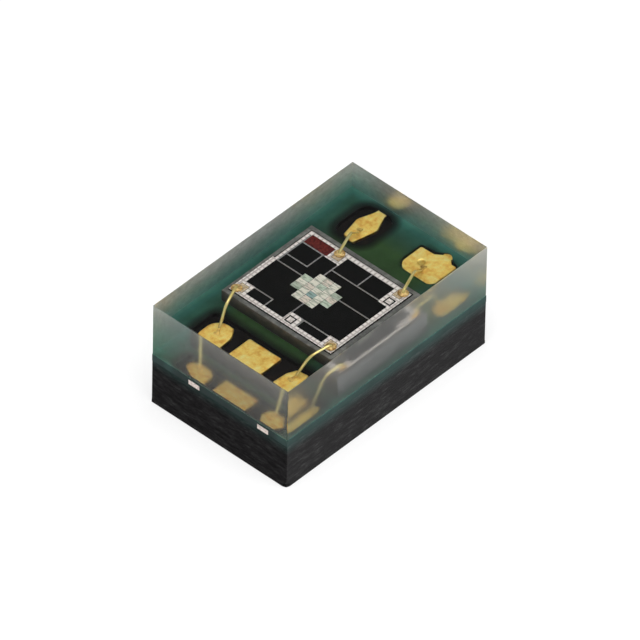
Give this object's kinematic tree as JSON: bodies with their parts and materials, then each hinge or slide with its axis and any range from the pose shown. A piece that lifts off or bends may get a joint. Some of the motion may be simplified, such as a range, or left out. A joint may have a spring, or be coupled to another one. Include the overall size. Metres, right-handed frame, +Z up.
{
  "type": "uv light sensor",
  "caption": "Clear-moulded UV light sensor chip, wire-bonded on a green-masked laminate with solder terminals underneath.",
  "frame": {"origin": "middle of the underside, in the plane of the solder terminals", "axes": "+X along the long side, from the end with the square land to the other; +Y along the short side; +Z up, out of the clear top that the light enters"},
  "size_m": [0.002, 0.0012, 0.0009],
  "materials": {
    "clear_mould": "clear epoxy resin, polished top, sawn sides",
    "laminate": "near-black glass-epoxy laminate, sawn sides",
    "solder_mask": "green solder mask, satin",
    "gold": "gold plating, satin",
    "copper": "bare copper",
    "glue": "grey die attach film",
    "silicon": "sawn silicon",
    "dark_circuit": "dark light-blocking layer",
    "chip_metal": "bright aluminium film",
    "photodiodes": "pale green photodiode cells",
    "red_filter": "dark red filter film"
  },
  "bodies": {
    "root": {"clear_mould": "clear_mould", "substrate_core": "laminate", "top_mask": "solder_mask", "bottom_mask": "solder_mask", "land_left": "gold", "land_front": "gold", "land_square": "gold", "land_back": "gold", "land_right": "gold", "terminal_left": "gold", "terminal_front": "gold", "terminal_back": "gold", "terminal_right": "gold", "wire_left": "gold", "wire_front": "gold", "wire_back": "gold", "wire_right": "gold", "via_left": "copper", "via_front": "copper", "via_back": "copper", "via_right": "copper", "die_attach": "glue", "silicon_die": "silicon", "circuit_layer": "dark_circuit", "metal_grid": "chip_metal", "pad_left": "chip_metal", "pad_front": "chip_metal", "pad_back": "chip_metal", "pad_right": "chip_metal", "probe_pad_left": "chip_metal", "probe_pad_right": "chip_metal", "photodiode_array": "photodiodes", "red_filter": "red_filter"}
  },
  "joints": []
}
